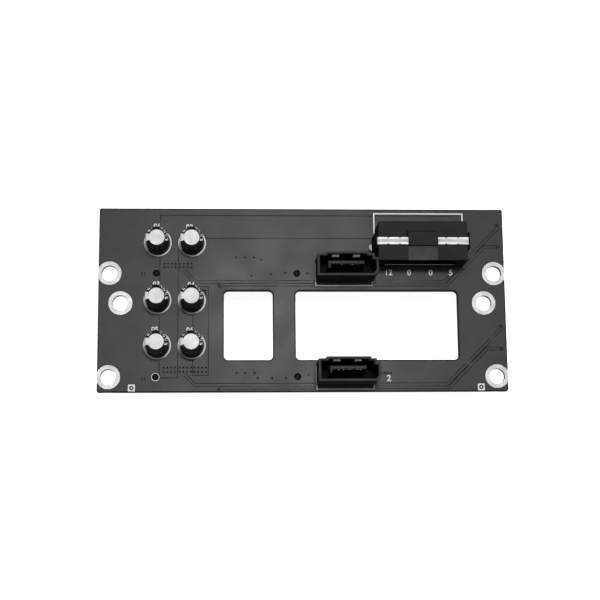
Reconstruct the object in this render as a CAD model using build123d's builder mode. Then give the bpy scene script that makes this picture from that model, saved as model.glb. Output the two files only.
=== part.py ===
from build123d import *
import os

os.makedirs("parts", exist_ok=True)

# Drive backplane board, millimetres, +Z out of the component side.
# The origin is the centre of the four corner holes, on the board's back face.

# circuit board
board_length = 118.0
board_width = 53.8
board_thickness = 1.6
board_corner_radius = 0.6
board_centre_y = 7.45
window_height = 20.2
window_centre_y = -0.15
window_corner_radius = 1.3
small_window_width = 14.1
small_window_x = -15.87
window_bridge = 6.575
large_window_margin = 14.095

# mounting holes and their plating
bay_pitch = 30.2
corner_hole_inset = 3.15
side_hole_inset = 6.375
side_hole_y = 6.35
mounting_hole_diameter = 4.5
mounting_ring_width = 1.2
plating_thickness = 0.05

# radial capacitors
can_diameter = 6.3
can_height = 7.2
can_edge_radius = 0.7
can_standoff = 0.3
bead_height = 1.7
bead_depth = 0.3
bead_width = 0.9
can_wall = 0.4
score_depth = 0.1
score_width = 0.22
score_length = 3.6
sleeve_thickness = 0.14
sleeve_lap = 0.9
bung_depth = 1.3
bung_channel_width = 1.25
lead_diameter = 0.5
lead_pitch = 2.5
lead_trim = 1.5
capacitor_setback = 10.575
capacitor_pitch = 9.9
capacitor_rows = (24.05, 7.15, -6.0)

# upright data headers with a latch wall
header_gap = 0.01
header_length = 17.5
header_depth = 6.45
header_front = -2.55
header_height = 10.0
header_wall = 0.72
header_floor = 1.6
header_lead_in = 0.25
latch_bump_width = 12.7
latch_bump_depth = 0.55
latch_bump_x = -0.24
latch_window_width = 2.2
latch_window_base = 4.8
latch_window_height = 3.7
latch_window_pitch = 6.0
key_tab_length = 1.1
key_tab_depth = 3.9
key_tab_y = 0.78
tongue_length = 10.41
tongue_thickness = 1.0
tongue_height = 7.3
tongue_x = -0.4
tongue_back = 1.95
tongue_leg_depth = 2.1
tongue_leg_width = 0.8
contact_pitch = 1.27
data_contact_count = 7
blade_width = 0.6
blade_thickness = 0.25
blade_groove_depth = 0.2
blade_clearance = 0.05
blade_top_margin = 0.6
stagger = 1.9
tail_length = 1.5
board_lock_inset = 1.95
board_lock_width = 1.2
board_lock_thickness = 0.3
board_lock_depth = 1.1
board_lock_slit = 0.3
board_lock_y = 1.5

# right-angle power header
power_x = 33.85
power_width = 25.5
power_depth = 11.3
power_front_y = 16.95
power_height = 10.4
power_edge_radius = 0.3
plug_side_wall = 2.325
plug_floor = 1.1
plug_roof = 1.1
plug_sill_setback = 0.5
plug_sill_edge = 0.22
plug_depth = 6.9
plug_corner = 2.2
web_thickness = 1.4
power_pin_diameter = 2.1
power_pin_pitch = 5.08
power_pin_count = 4
power_pin_height = 5.2
power_pin_tip_gap = 2.2
power_pin_nose = 0.5
power_pin_bend = 1.6
power_pin_straight = 0.05
power_tail_length = 2.0
tail_bay_wall = 2.75
tail_bay_headroom = 0.7
bridge_width = 8.5
bridge_depth = 4.0
bridge_rise = 0.6
bridge_setback = 6.15
bridge_relief_width = 0.34
bridge_relief_depth = 0.8
grip_recess_depth = 0.35
strap_width = 2.05
strap_side_gap = 0.12
strap_thickness = 0.35
strap_setback = 5.55
strap_notch_radius = 0.28
strap_foot_length = 1.3
strap_fit = 0.02
strap_crease_width = 0.7
strap_crease_depth = 0.08
strap_notches = (2.77, 6.1)
bend_inside = 0.02
ear_reach = 0.95
ear_length = 4.75
ear_setback = 6.0
ear_drop = 1.0
ear_edge = 0.3

# drive receptacles on the back
receptacle_x = -22.13
receptacle_length = 44.6
receptacle_base_depth = 5.8
receptacle_base_height = 2.4
tower_depth = 5.2
tower_height = 8.4
post_length = 2.6
post_drop = 1.2
post_corner = 0.8
peg_span = 40.6
peg_diameter = 1.7
peg_length = 1.3
peg_lead_in = 0.28
slot_thickness = 1.3
slot_floor = 2.6
slot_lead_in = 0.35
slot_end_play = 1.68
slot_end_wall = 0.97
slot_web = 2.26
slot_leg_depth = 2.4
power_contact_count = 15
cell_width = 0.9
cell_depth = 1.25
cell_roof = 1.2
cell_notch_height = 0.5
spring_width = 0.7
spring_thickness = 0.2
spring_foot_reach = 1.1
spring_setback = 0.8
spring_reach = 0.3
spring_tip_setback = 0.25
spring_rise = 3.2
spring_flare = 1.0
spring_headroom = 0.2
spring_bend = 0.35
contact_inset = 0.45
anchor_width = 2.2
anchor_thickness = 0.3
anchor_height = 1.8
anchor_foot = 1.0

# drilled clearances and solder
pin_clearance = 0.15
blade_clearance_radius = 0.1
strap_slot_clearance = 0.25
solder_height = 0.9
solder_flare = 0.45
solder_collar = 0.09
solder_slope = 20

board_end = board_length / 2
corner_hole_x = board_end - corner_hole_inset
side_hole_x = board_end - side_hole_inset
corner_holes = [(x, y) for x in (-corner_hole_x, corner_hole_x)
                for y in (-bay_pitch / 2, bay_pitch / 2)]
side_holes = [(x, side_hole_y) for x in (-side_hole_x, side_hole_x)]
mounting_holes = corner_holes + side_holes
mounting_ring_diameter = mounting_hole_diameter + 2 * mounting_ring_width
large_window_left = small_window_x + small_window_width / 2 + window_bridge
large_window_width = board_end - large_window_margin - large_window_left
large_window_x = large_window_left + large_window_width / 2
bay_rows = (bay_pitch / 2, -bay_pitch / 2)

capacitor_columns = (capacitor_setback - side_hole_x,
                     capacitor_setback - side_hole_x + capacitor_pitch)
capacitor_places = [(x, y) for y in capacitor_rows for x in capacitor_columns]
bung_diameter = can_diameter - 2 * can_wall
sleeve_eye_diameter = can_diameter - 2 * sleeve_lap

header_x = power_x - power_width / 2 - header_gap - header_length / 2
board_lock_span = header_length - 2 * board_lock_inset

blade_face_y = tongue_back - tongue_thickness
blade_y = blade_face_y + blade_groove_depth - blade_thickness / 2
data_contact_xs = [tongue_x + contact_pitch * (i - (data_contact_count - 1) / 2)
                   for i in range(data_contact_count)]
power_pin_xs = [power_x + power_pin_pitch * (i - (power_pin_count - 1) / 2)
                for i in range(power_pin_count)]
power_tail_y = power_front_y + plug_depth + web_thickness + power_pin_straight + power_pin_bend
plug_width = power_width - 2 * plug_side_wall
plug_height = power_height - plug_floor - plug_roof
tail_bay_width = power_width - 2 * tail_bay_wall
bridge_y = power_front_y + bridge_setback
strap_y = power_front_y + strap_setback
strap_leg_x = power_width / 2 + strap_fit + strap_thickness / 2
ear_y = power_front_y + ear_setback
ear_height = power_height - ear_drop
strap_groove_width = strap_width + 2 * strap_side_gap
bridge_relief_end = bridge_y + bridge_depth / 2 + bridge_relief_width
bridge_relief_length = bridge_relief_end - strap_y - strap_groove_width / 2

data_slot_length = data_contact_count * contact_pitch + slot_end_play
power_slot_length = power_contact_count * contact_pitch + slot_end_play
tower_length = data_slot_length + slot_web + power_slot_length + 2 * slot_end_wall
slot_outer_end = tower_length / 2 - slot_end_wall
data_slot_x = data_slot_length / 2 - slot_outer_end
power_slot_x = slot_outer_end - power_slot_length / 2
post_height = tower_height - post_drop
cell_height = tower_height - cell_roof
spring_foot = receptacle_base_depth / 2 + spring_foot_reach
spring_upright = slot_thickness / 2 + spring_setback
spring_nose = slot_thickness / 2 - spring_reach
spring_tip = slot_thickness / 2 + spring_tip_setback
spring_tip_height = cell_height - spring_headroom
spring_nose_height = spring_tip_height - spring_flare

lead_hole_diameter = lead_diameter + 2 * pin_clearance
blade_hole_diameter = (blade_width ** 2 + blade_thickness ** 2) ** 0.5 + 2 * blade_clearance_radius
board_lock_hole_diameter = board_lock_width + 2 * pin_clearance
power_hole_diameter = power_pin_diameter + 2 * pin_clearance
peg_hole_diameter = peg_diameter + 2 * pin_clearance


def blade_tail_y(index):
    """Every second data contact steps back before it enters the board."""
    return blade_y + (stagger if index % 2 else 0.0)


def upright_plane(x, y):
    """Plane through a point of the board, with its own x along the board and its y upward."""
    return Plane(origin=(x, y, 0), x_dir=(1, 0, 0), z_dir=(0, -1, 0))


def save(piece, name):
    piece.part.label = name
    export_step(piece.part, f"parts/{name}.step")


def build_board():
    with BuildPart() as board:
        with BuildSketch(Plane.XY):
            with Locations((0, board_centre_y)):
                RectangleRounded(board_length, board_width, board_corner_radius)
            with Locations((small_window_x, window_centre_y)):
                RectangleRounded(small_window_width, window_height, window_corner_radius,
                                 mode=Mode.SUBTRACT)
            with Locations((large_window_x, window_centre_y)):
                RectangleRounded(large_window_width, window_height, window_corner_radius,
                                 mode=Mode.SUBTRACT)
            with Locations(*mounting_holes):
                Circle(mounting_hole_diameter / 2 + plating_thickness, mode=Mode.SUBTRACT)
            with Locations(*capacitor_places):
                with GridLocations(lead_pitch, 0, 2, 1):
                    Circle(lead_hole_diameter / 2, mode=Mode.SUBTRACT)
            for bay_y in bay_rows:
                with Locations(*[(header_x + x, bay_y + blade_tail_y(i))
                                 for i, x in enumerate(data_contact_xs)]):
                    Circle(blade_hole_diameter / 2, mode=Mode.SUBTRACT)
                with Locations((header_x, bay_y + board_lock_y)):
                    with GridLocations(board_lock_span, 0, 2, 1):
                        Circle(board_lock_hole_diameter / 2, mode=Mode.SUBTRACT)
                with Locations((receptacle_x, bay_y)):
                    with GridLocations(peg_span, 0, 2, 1):
                        Circle(peg_hole_diameter / 2, mode=Mode.SUBTRACT)
            with Locations(*[(x, power_tail_y) for x in power_pin_xs]):
                Circle(power_hole_diameter / 2, mode=Mode.SUBTRACT)
            with Locations((power_x, strap_y)):
                with GridLocations(2 * strap_leg_x, 0, 2, 1):
                    SlotOverall(strap_width + 2 * strap_slot_clearance + strap_thickness,
                                strap_thickness + 2 * strap_slot_clearance, rotation=90,
                                mode=Mode.SUBTRACT)
        extrude(amount=board_thickness)
    return board


def build_mounting_rings():
    """Plated barrel and two annular lands at each screw hole, trimmed at the board's edge."""
    hole_radius = mounting_hole_diameter / 2
    with BuildPart() as rings:
        for face_z in (-plating_thickness, board_thickness):
            with BuildSketch(Plane.XY.offset(face_z)):
                with Locations(*mounting_holes):
                    Circle(mounting_ring_diameter / 2)
                with Locations((0, board_centre_y)):
                    Rectangle(board_length, board_width, mode=Mode.INTERSECT)
                with Locations(*mounting_holes):
                    Circle(hole_radius, mode=Mode.SUBTRACT)
            extrude(amount=plating_thickness)
        with BuildSketch(Plane.XY):
            with Locations(*mounting_holes):
                Circle(hole_radius + plating_thickness)
                Circle(hole_radius, mode=Mode.SUBTRACT)
        extrude(amount=board_thickness)
    return rings


def build_can(place):
    """Drawn aluminium can with its rolled bead, open over the bung, scored on top."""
    radius = can_diameter / 2
    base_z = board_thickness + can_standoff
    with BuildPart() as can:
        with BuildSketch(upright_plane(*place)):
            with Locations((0, base_z)):
                Rectangle(radius, can_height, align=(Align.MIN, Align.MIN))
                Rectangle(bung_diameter / 2, bung_depth, align=(Align.MIN, Align.MIN),
                          mode=Mode.SUBTRACT)
            with Locations((radius + bead_width / 2 - bead_depth, base_z + bead_height)):
                Circle(bead_width / 2, mode=Mode.SUBTRACT)
        revolve(axis=Axis((place[0], place[1], 0), (0, 0, 1)))
        fillet(can.edges().group_by(Axis.Z)[-1], can_edge_radius)
        top_plane = Plane((place[0], place[1], base_z + can_height))
        with BuildSketch(top_plane):
            with PolarLocations(0, 2, 45):
                Rectangle(score_length, score_width)
        extrude(amount=-score_depth, mode=Mode.SUBTRACT)
    return can


def build_sleeve(place):
    """Shrink sleeve: a thin skin round the can that rolls over its shoulder and foot."""
    inner = can_diameter / 2
    outer = inner + sleeve_thickness
    eye = sleeve_eye_diameter / 2
    base_z = board_thickness + can_standoff
    top_z = base_z + can_height
    with BuildPart() as sleeve:
        with BuildSketch(upright_plane(*place)):
            with BuildLine():
                Line((eye, top_z), (inner - can_edge_radius, top_z))
                RadiusArc((inner - can_edge_radius, top_z), (inner, top_z - can_edge_radius),
                          can_edge_radius)
                Line((inner, top_z - can_edge_radius), (inner, base_z))
                Line((inner, base_z), (bung_diameter / 2, base_z))
                Line((bung_diameter / 2, base_z), (bung_diameter / 2, base_z - sleeve_thickness))
                Line((bung_diameter / 2, base_z - sleeve_thickness),
                     (outer - sleeve_thickness, base_z - sleeve_thickness))
                RadiusArc((outer - sleeve_thickness, base_z - sleeve_thickness), (outer, base_z),
                          -sleeve_thickness)
                Line((outer, base_z), (outer, top_z - can_edge_radius))
                RadiusArc((outer, top_z - can_edge_radius),
                          (inner - can_edge_radius, top_z + sleeve_thickness),
                          -can_edge_radius - sleeve_thickness)
                Line((inner - can_edge_radius, top_z + sleeve_thickness),
                     (eye, top_z + sleeve_thickness))
                Line((eye, top_z + sleeve_thickness), (eye, top_z))
            make_face()
        revolve(axis=Axis((place[0], place[1], 0), (0, 0, 1)))
    return sleeve


def build_bung(place):
    """Rubber seal in the can's mouth, standing on the board on its rim."""
    base_z = board_thickness + can_standoff
    with BuildPart() as bung:
        with BuildSketch(Plane((place[0], place[1], board_thickness))):
            Circle(bung_diameter / 2)
            with GridLocations(lead_pitch, 0, 2, 1):
                Circle(lead_diameter / 2, mode=Mode.SUBTRACT)
        extrude(amount=base_z + bung_depth - board_thickness)
        with BuildSketch(Plane((place[0], place[1], board_thickness))):
            Rectangle(bung_diameter, bung_channel_width)
        extrude(amount=can_standoff / 2, mode=Mode.SUBTRACT)
    return bung


def build_leads(place):
    bung_top = board_thickness + can_standoff + bung_depth
    with BuildPart() as leads:
        with BuildSketch(Plane((place[0], place[1], -lead_trim))):
            with GridLocations(lead_pitch, 0, 2, 1):
                Circle(lead_diameter / 2)
        extrude(amount=bung_top + lead_trim)
    return leads


def header_outline():
    """Plan of the header: body, latch wall bump and keyed end with its bevelled corner."""
    with BuildSketch() as outline:
        body_length = header_length - key_tab_length
        with Locations((-header_length / 2, header_front)):
            Rectangle(body_length, header_depth, align=(Align.MIN, Align.MIN))
        with Locations((latch_bump_x, header_front + header_depth)):
            Rectangle(latch_bump_width, 2 * latch_bump_depth)
        with Locations((header_length / 2, key_tab_y)):
            Rectangle(2 * key_tab_length, key_tab_depth, align=(Align.MAX, Align.CENTER))
        bevel_top = key_tab_y - key_tab_depth / 2
        with BuildLine():
            Polyline((header_length / 2 - key_tab_length, header_front),
                     (header_length / 2, bevel_top),
                     (header_length / 2 - key_tab_length, bevel_top), close=True)
        make_face()
    return outline.sketch


def build_header_housing(bay_y):
    """Shroud with an L-shaped tongue, two latch windows, blade grooves and tail cells."""
    base = Plane((header_x, bay_y, board_thickness))
    outline = header_outline()
    with BuildPart() as housing:
        with BuildSketch(base):
            add(outline)
        extrude(amount=header_height)
        with BuildSketch(base.offset(header_floor)):
            add(outline)
            offset(amount=-header_wall, kind=Kind.INTERSECTION, mode=Mode.REPLACE)
        extrude(amount=header_height - header_floor, mode=Mode.SUBTRACT)
        rim = housing.faces().sort_by(Axis.Z)[-1]
        chamfer(rim.inner_wires()[0].edges(), header_lead_in)
        with BuildSketch(base.offset(header_floor)):
            with Locations((tongue_x, tongue_back)):
                Rectangle(tongue_length, tongue_thickness, align=(Align.CENTER, Align.MAX))
            with Locations((tongue_x - tongue_length / 2, tongue_back)):
                Rectangle(tongue_leg_width, tongue_leg_depth, align=(Align.MIN, Align.MAX))
        extrude(amount=tongue_height)
        tongue_top = board_thickness + header_floor + tongue_height
        chamfer(housing.edges().filter_by_position(Axis.Z, tongue_top, tongue_top), header_lead_in)
        window_y = header_front + header_depth
        with BuildSketch(base.offset(latch_window_base)):
            with Locations((latch_bump_x, window_y)):
                with GridLocations(latch_window_pitch, 0, 2, 1):
                    Rectangle(latch_window_width, 4 * header_wall)
        extrude(amount=latch_window_height, mode=Mode.SUBTRACT)
        groove_width = blade_width + 2 * blade_clearance
        with BuildSketch(base):
            with Locations(*[(x, blade_face_y + blade_groove_depth) for x in data_contact_xs]):
                Rectangle(groove_width, blade_thickness + blade_clearance,
                          align=(Align.CENTER, Align.MAX))
        extrude(amount=header_floor + tongue_height - blade_top_margin, mode=Mode.SUBTRACT)
        with BuildSketch(base):
            with Locations(*[(x, blade_y + stagger / 2)
                             for x in data_contact_xs[1::2]]):
                Rectangle(groove_width, stagger + blade_thickness + 2 * blade_clearance)
            with Locations((0, board_lock_y)):
                with GridLocations(board_lock_span, 0, 2, 1):
                    Rectangle(board_lock_width, board_lock_thickness)
        extrude(amount=board_lock_depth, mode=Mode.SUBTRACT)
    return housing


def build_header_contacts(bay_y):
    """Seven flat blades down the tongue, every second one stepped back at its foot."""
    blade_top = board_thickness + header_floor + tongue_height - blade_top_margin
    step_z = board_thickness + board_lock_depth / 2
    with BuildPart() as contacts:
        for i, x in enumerate(data_contact_xs):
            plane = Plane(origin=(header_x + x, bay_y, 0), x_dir=(0, 1, 0), z_dir=(1, 0, 0))
            tail_y = blade_tail_y(i)
            with BuildSketch(plane):
                with BuildLine():
                    if tail_y > blade_y:
                        FilletPolyline((blade_y, blade_top), (blade_y, step_z), (tail_y, step_z),
                                       (tail_y, -tail_length), radius=blade_thickness)
                    else:
                        Line((blade_y, blade_top), (blade_y, -tail_length))
                trace(line_width=blade_thickness)
            extrude(amount=blade_width / 2, both=True)
    return contacts


def build_board_locks(bay_y):
    """Two forked plates that hold the header in the board."""
    top_z = board_thickness + board_lock_depth
    with BuildPart() as locks:
        for side in (-1, 1):
            plane = Plane(origin=(header_x + side * board_lock_span / 2, bay_y + board_lock_y, top_z),
                          x_dir=(1, 0, 0), z_dir=(0, -1, 0))
            with BuildSketch(plane):
                Rectangle(board_lock_width, top_z + tail_length, align=(Align.CENTER, Align.MAX))
                with Locations((0, -top_z - tail_length)):
                    SlotOverall(2 * (board_thickness + tail_length), board_lock_slit,
                                rotation=90, mode=Mode.SUBTRACT)
            extrude(amount=board_lock_thickness / 2, both=True)
    return locks


def build_power_housing():
    """Right-angle shroud: plug cavity, pin web, tail bay, strap groove, bridge, relief and ears."""
    front = Plane(origin=(power_x, power_front_y, board_thickness), x_dir=(1, 0, 0), z_dir=(0, -1, 0))
    seat = Plane((power_x, 0, board_thickness))
    deck = seat.offset(power_height)
    ear_top = board_thickness + ear_height
    bay_depth = power_depth - plug_depth - web_thickness
    with BuildPart() as housing:
        with BuildSketch(seat):
            with Locations((0, power_front_y)):
                Rectangle(power_width, power_depth, align=(Align.CENTER, Align.MIN))
        extrude(amount=power_height)
        fillet(housing.edges().filter_by(Axis.Z), power_edge_radius)
        with BuildSketch(seat):
            with Locations((0, ear_y)):
                Rectangle(power_width + 2 * ear_reach, ear_length)
        extrude(amount=ear_height)
        ear_rims = housing.edges().filter_by(Axis.Y).filter_by_position(Axis.Z, ear_top, ear_top)
        chamfer((ear_rims.sort_by(Axis.X)[0], ear_rims.sort_by(Axis.X)[-1]), ear_edge)
        with BuildSketch(deck):
            with Locations((0, bridge_y)):
                Rectangle(bridge_width, bridge_depth)
        extrude(amount=bridge_rise)
        with BuildSketch(deck):
            with Locations((0, power_front_y)):
                Rectangle(bridge_width, bridge_y - bridge_depth / 2 - power_front_y,
                          align=(Align.CENTER, Align.MIN))
        extrude(amount=-grip_recess_depth, mode=Mode.SUBTRACT)
        with BuildSketch(deck.offset(-strap_thickness / 2)):
            with Locations((0, strap_y)):
                Rectangle(power_width + 2 * ear_reach, strap_groove_width)
        extrude(amount=strap_thickness, mode=Mode.SUBTRACT)
        with BuildSketch(deck):
            with Locations((-bridge_width / 2, bridge_relief_end)):
                Rectangle(bridge_width, bridge_relief_width, align=(Align.MIN, Align.MAX))
                Rectangle(bridge_relief_width, bridge_relief_length, align=(Align.MAX, Align.MAX))
        extrude(amount=-bridge_relief_depth, mode=Mode.SUBTRACT)
        with BuildSketch(seat):
            with Locations((-strap_leg_x, strap_y), (strap_leg_x, strap_y)):
                Rectangle(strap_thickness + 2 * strap_fit, strap_width + 2 * strap_fit)
        extrude(amount=power_height, mode=Mode.SUBTRACT)
        with BuildSketch(front) as mouth:
            with Locations((0, plug_floor)):
                Rectangle(plug_width, plug_height, align=(Align.CENTER, Align.MIN))
            chamfer(mouth.vertices().group_by(Axis.Y)[-1], plug_corner)
        extrude(amount=-plug_depth, mode=Mode.SUBTRACT)
        with BuildSketch(front):
            Rectangle(plug_width, 2 * plug_floor)
        extrude(amount=-plug_sill_setback, mode=Mode.SUBTRACT)
        sill_y, sill_z = power_front_y + plug_sill_setback, board_thickness + plug_floor
        sill = housing.edges().filter_by(Axis.X).filter_by_position(Axis.Y, sill_y, sill_y)
        chamfer(sill.filter_by_position(Axis.Z, sill_z, sill_z), plug_sill_edge)
        with BuildSketch(seat):
            with Locations((0, power_front_y + power_depth)):
                Rectangle(tail_bay_width, bay_depth, align=(Align.CENTER, Align.MAX))
        extrude(amount=power_pin_height + power_pin_diameter / 2 + tail_bay_headroom,
                mode=Mode.SUBTRACT)
        with BuildSketch(front.offset(-plug_depth)):
            with Locations((0, power_pin_height)):
                with GridLocations(power_pin_pitch, 0, power_pin_count, 1):
                    Circle(power_pin_diameter / 2)
        extrude(amount=-web_thickness, mode=Mode.SUBTRACT)
    return housing


def build_power_pins():
    """Round pins that run back from the cavity and bend down into the board."""
    tip_y = power_front_y + power_pin_tip_gap
    pin_z = board_thickness + power_pin_height
    with BuildPart() as pins:
        for x in power_pin_xs:
            side = Plane(origin=(x, 0, 0), x_dir=(0, 1, 0), z_dir=(1, 0, 0))
            with BuildLine(side) as route:
                FilletPolyline((tip_y, pin_z), (power_tail_y, pin_z),
                               (power_tail_y, -power_tail_length), radius=power_pin_bend)
            with BuildSketch(Plane(origin=route.line @ 0, z_dir=route.line % 0)):
                Circle(power_pin_diameter / 2)
            sweep()
        fillet(pins.edges().filter_by_position(Axis.Y, tip_y, tip_y), power_pin_nose)
    return pins


def build_strap():
    """Sheet-metal strap over the power header, notched and creased, with a leg at each end."""
    deck_z = board_thickness + power_height
    end_x = power_width / 2
    with BuildPart() as strap:
        with BuildSketch(Plane(origin=(power_x, strap_y, 0), x_dir=(1, 0, 0), z_dir=(0, -1, 0))):
            with BuildLine():
                FilletPolyline((-strap_leg_x, -strap_foot_length), (-strap_leg_x, deck_z),
                               (strap_leg_x, deck_z), (strap_leg_x, -strap_foot_length),
                               radius=strap_thickness / 2 + bend_inside)
            trace(line_width=strap_thickness)
        extrude(amount=strap_width / 2, both=True)
        with BuildSketch(Plane((power_x, strap_y, deck_z - strap_thickness))):
            for side in (-1, 1):
                with Locations(*[(side * (end_x - inset), 0) for inset in strap_notches]):
                    with GridLocations(0, strap_width, 1, 2):
                        Circle(strap_notch_radius)
        extrude(amount=2 * strap_thickness, mode=Mode.SUBTRACT)
        with BuildSketch(Plane((power_x, strap_y, deck_z + strap_thickness / 2))):
            Rectangle(power_width, strap_crease_width)
        extrude(amount=-strap_crease_depth, mode=Mode.SUBTRACT)
    return strap


def contact_row(slot_x, count):
    """Places of a row of contacts in a slot, moved a little away from the slot's keyed end."""
    inward = -contact_inset if slot_x > 0 else contact_inset
    return [slot_x + inward + contact_pitch * (i - (count - 1) / 2) for i in range(count)]


def build_receptacle_housing(bay_y):
    """Block on the back with two keyed slots, a cell for each contact, end posts and pegs."""
    back = Plane(origin=(receptacle_x, bay_y, 0), x_dir=(-1, 0, 0), z_dir=(0, 0, -1))
    all_contacts = (contact_row(data_slot_x, data_contact_count)
                    + contact_row(power_slot_x, power_contact_count))
    slots = ((data_slot_x, data_slot_length, -1), (power_slot_x, power_slot_length, 1))
    with BuildPart() as housing:
        with BuildSketch(back):
            RectangleRounded(receptacle_length, receptacle_base_depth, post_corner)
        extrude(amount=receptacle_base_height)
        with BuildSketch(back):
            Rectangle(tower_length, tower_depth)
        extrude(amount=tower_height)
        chamfer(housing.faces().sort_by(Axis.Z)[0].edges(), slot_lead_in)
        with BuildSketch(back):
            with GridLocations(receptacle_length - post_length, 0, 2, 1):
                RectangleRounded(post_length, tower_depth, post_corner)
        extrude(amount=post_height)
        with BuildSketch(back.offset(slot_floor)):
            for slot_x, slot_length, end in slots:
                with Locations((slot_x, 0)):
                    Rectangle(slot_length, slot_thickness)
                with Locations((end * slot_outer_end, slot_thickness / 2)):
                    Rectangle(slot_thickness, slot_leg_depth,
                              align=(Align.MAX if end > 0 else Align.MIN, Align.MAX))
        extrude(amount=tower_height - slot_floor, mode=Mode.SUBTRACT)
        for mouth in housing.faces().sort_by(Axis.Z)[0].inner_wires():
            chamfer(mouth.edges(), slot_lead_in)
        with BuildSketch(back):
            with Locations(*[(x, -slot_thickness / 2) for x in all_contacts]):
                Rectangle(cell_width, cell_depth, align=(Align.CENTER, Align.MAX))
        extrude(amount=cell_height, mode=Mode.SUBTRACT)
        with BuildSketch(back):
            with Locations(*[(x, -slot_thickness / 2) for x in all_contacts]):
                Rectangle(cell_width, receptacle_base_depth / 2, align=(Align.CENTER, Align.MAX))
        extrude(amount=cell_notch_height, mode=Mode.SUBTRACT)
        with BuildSketch(back):
            with GridLocations(receptacle_length - anchor_thickness, 0, 2, 1):
                Rectangle(anchor_thickness, anchor_width)
        extrude(amount=anchor_height, mode=Mode.SUBTRACT)
        with BuildSketch(back):
            with GridLocations(peg_span, 0, 2, 1):
                Circle(peg_diameter / 2)
        extrude(amount=-peg_length)
        peg_tips = housing.edges().filter_by_position(Axis.Z, peg_length, peg_length)
        chamfer(peg_tips, peg_lead_in)
    return housing


def build_springs(bay_y, places):
    """Stamped springs: a foot on the board, an upright in the cell and a nose in the slot."""
    with BuildPart() as springs:
        for x in places:
            plane = Plane(origin=(receptacle_x - x, bay_y, 0), x_dir=(0, 1, 0), z_dir=(-1, 0, 0))
            with BuildSketch(plane):
                with BuildLine():
                    FilletPolyline((-spring_foot, spring_thickness / 2),
                                   (-spring_upright, spring_thickness / 2),
                                   (-spring_upright, spring_rise),
                                   (-spring_nose, spring_nose_height),
                                   (-spring_tip, spring_tip_height), radius=spring_bend)
                trace(line_width=spring_thickness)
            extrude(amount=spring_width / 2, both=True)
    return springs


def build_anchors(bay_y):
    """Two bent plates that solder the receptacle's ends to the board."""
    end_x = receptacle_length / 2
    with BuildPart() as anchors:
        for side in (-1, 1):
            plane = Plane(origin=(receptacle_x, bay_y, 0), x_dir=(side, 0, 0), z_dir=(0, side, 0))
            with BuildSketch(plane):
                with BuildLine():
                    FilletPolyline((end_x + anchor_foot, anchor_thickness / 2),
                                   (end_x - anchor_thickness / 2, anchor_thickness / 2),
                                   (end_x - anchor_thickness / 2, anchor_height),
                                   radius=anchor_thickness / 2 + bend_inside)
                trace(line_width=anchor_thickness)
            extrude(amount=anchor_width / 2, both=True)
    return anchors


def build_round_solder(places, lead_radius):
    """Solder cones on the back face round leads of circular section."""
    with BuildPart() as solder:
        with Locations(*[(x, y, -solder_height / 2) for x, y in places]):
            Cone(lead_radius + solder_collar, lead_radius + solder_flare, solder_height)
            Cylinder(lead_radius, solder_height, mode=Mode.SUBTRACT)
    return solder


def build_flat_solder(places, width, depth):
    """Solder fillets on the back face round legs of flat section."""
    with BuildPart() as solder:
        with BuildSketch(Plane(origin=(0, 0, 0), x_dir=(1, 0, 0), z_dir=(0, 0, -1))):
            with Locations(*[(x, -y) for x, y in places]):
                RectangleRounded(width + 2 * solder_flare, depth + 2 * solder_flare, solder_flare)
        extrude(amount=solder_height, taper=solder_slope)
        with BuildSketch(Plane.XY):
            with Locations(*places):
                Rectangle(width, depth)
        extrude(amount=-solder_height, mode=Mode.SUBTRACT)
    return solder


def build_header_solder():
    """Joints of the seven blades and two board locks of each data header."""
    blades = [(header_x + x, bay_y + blade_tail_y(i))
              for bay_y in bay_rows for i, x in enumerate(data_contact_xs)]
    locks = [(header_x + side * board_lock_span / 2, bay_y + board_lock_y)
             for bay_y in bay_rows for side in (-1, 1)]
    with BuildPart() as solder:
        add(build_flat_solder(blades, blade_width, blade_thickness).part)
        add(build_flat_solder(locks, board_lock_width, board_lock_thickness).part)
    return solder


def build_power_solder():
    """Joints of the power header's pins and of its strap's legs."""
    tails = [(x, power_tail_y) for x in power_pin_xs]
    legs = [(power_x + side * strap_leg_x, strap_y) for side in (-1, 1)]
    with BuildPart() as solder:
        add(build_round_solder(tails, power_pin_diameter / 2).part)
        add(build_flat_solder(legs, strap_thickness, strap_width).part)
    return solder


save(build_board(), "board")
save(build_mounting_rings(), "mounting_rings")
for number, place in enumerate(capacitor_places, start=1):
    save(build_can(place), f"capacitor_{number}_can")
    save(build_sleeve(place), f"capacitor_{number}_sleeve")
    save(build_bung(place), f"capacitor_{number}_bung")
    save(build_leads(place), f"capacitor_{number}_leads")
for number, bay_y in enumerate(bay_rows, start=1):
    save(build_header_housing(bay_y), f"data_header_{number}_housing")
    save(build_header_contacts(bay_y), f"data_header_{number}_contacts")
    save(build_board_locks(bay_y), f"data_header_{number}_board_locks")
    save(build_receptacle_housing(bay_y), f"drive_receptacle_{number}_housing")
    save(build_springs(bay_y, contact_row(data_slot_x, data_contact_count)),
         f"drive_receptacle_{number}_signal_contacts")
    save(build_springs(bay_y, contact_row(power_slot_x, power_contact_count)),
         f"drive_receptacle_{number}_power_contacts")
    save(build_anchors(bay_y), f"drive_receptacle_{number}_anchors")
save(build_power_housing(), "power_header_housing")
save(build_power_pins(), "power_header_pins")
save(build_strap(), "power_header_strap")

capacitor_leads = [(x + side * lead_pitch / 2, y) for x, y in capacitor_places for side in (-1, 1)]
save(build_round_solder(capacitor_leads, lead_diameter / 2), "capacitor_solder_joints")
save(build_header_solder(), "header_solder_joints")
save(build_power_solder(), "power_solder_joints")
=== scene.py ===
import math

import bmesh
import bpy
from mathutils import Matrix, Vector
from mathutils.geometry import delaunay_2d_cdt


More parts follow.
